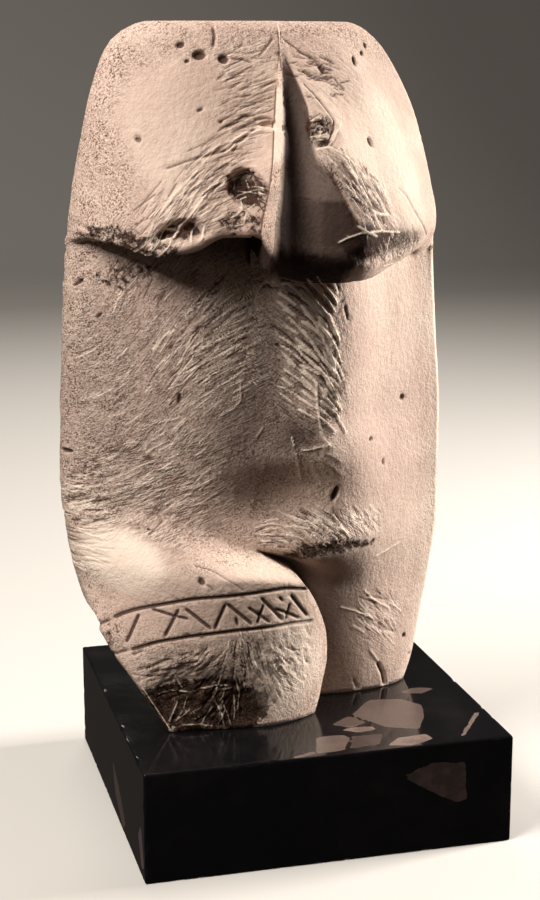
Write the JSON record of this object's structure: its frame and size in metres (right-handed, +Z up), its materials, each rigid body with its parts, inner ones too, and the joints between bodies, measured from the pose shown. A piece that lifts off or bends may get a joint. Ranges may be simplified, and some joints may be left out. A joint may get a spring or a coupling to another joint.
{
  "type": "stone female torso on plinth",
  "caption": "Carved stone female torso, cut flat at the shoulders and through the thighs, standing on a square polished stone block.",
  "frame": {"origin": "middle of the plinth's underside", "axes": "+Z up, the carved front faces -Y, +X to the viewer's right"},
  "size_m": [0.2228, 0.2, 0.4303],
  "materials": {
    "carved_stone": "matt, granular, tool-marked",
    "polished_stone": "polished"
  },
  "bodies": {
    "root": {"torso": "carved_stone", "plinth": "polished_stone"}
  },
  "joints": []
}
